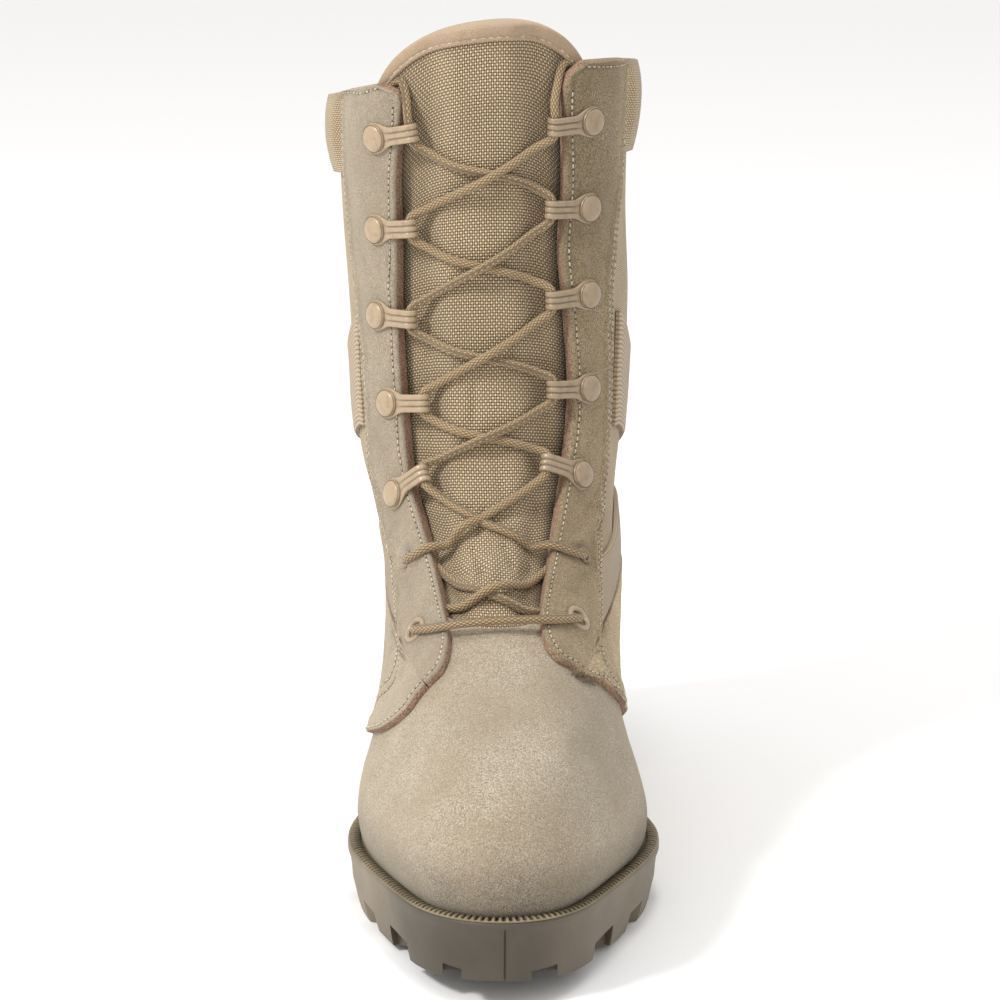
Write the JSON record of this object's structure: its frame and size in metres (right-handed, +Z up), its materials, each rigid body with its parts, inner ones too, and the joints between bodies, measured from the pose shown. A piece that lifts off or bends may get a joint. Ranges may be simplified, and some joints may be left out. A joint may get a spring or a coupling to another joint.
{
  "type": "boot",
  "caption": "Right desert jungle boot with suede vamp, nylon shaft, padded tongue, speed hooks and a lugged rubber sole.",
  "frame": {"origin": "on the floor under the middle of the heel, at the heel's rest face", "axes": "+Z up, toe towards -Y, inner side of the foot towards +X"},
  "size_m": [0.1229, 0.3025, 0.3067],
  "materials": {
    "suede": "napped, matte",
    "nylon": "woven, matte",
    "rubber": "moulded, satin",
    "cord": "braided, matte",
    "painted_metal": "satin paint",
    "lining": "woven, matte"
  },
  "bodies": {
    "root": {"ankle_tape_inner": "nylon", "ankle_tape_outer": "nylon", "backstay": "nylon", "collar": "nylon", "eyelet_inner_1": "painted_metal", "eyelet_inner_2": "painted_metal", "eyelet_outer_1": "painted_metal", "eyelet_outer_2": "painted_metal", "facing_inner": "suede", "facing_outer": "suede", "heel_counter": "suede", "hook_inner_1": "painted_metal", "hook_inner_2": "painted_metal", "hook_inner_3": "painted_metal", "hook_inner_4": "painted_metal", "hook_inner_5": "painted_metal", "hook_outer_1": "painted_metal", "hook_outer_2": "painted_metal", "hook_outer_3": "painted_metal", "hook_outer_4": "painted_metal", "hook_outer_5": "painted_metal", "insole": "lining", "lace_bar": "cord", "lace_crossings": "cord", "lace_low_cross": "cord", "lower_tape_inner": "nylon", "lower_tape_outer": "nylon", "outsole": "rubber", "quarter_inner": "suede", "quarter_outer": "suede", "rivet_inner_1": "painted_metal", "rivet_inner_2": "painted_metal", "rivet_inner_3": "painted_metal", "rivet_inner_4": "painted_metal", "rivet_inner_5": "painted_metal", "rivet_outer_1": "painted_metal", "rivet_outer_2": "painted_metal", "rivet_outer_3": "painted_metal", "rivet_outer_4": "painted_metal", "rivet_outer_5": "painted_metal", "tongue": "nylon", "tongue_binding": "suede", "upper": "suede", "welt": "rubber"}
  },
  "joints": []
}
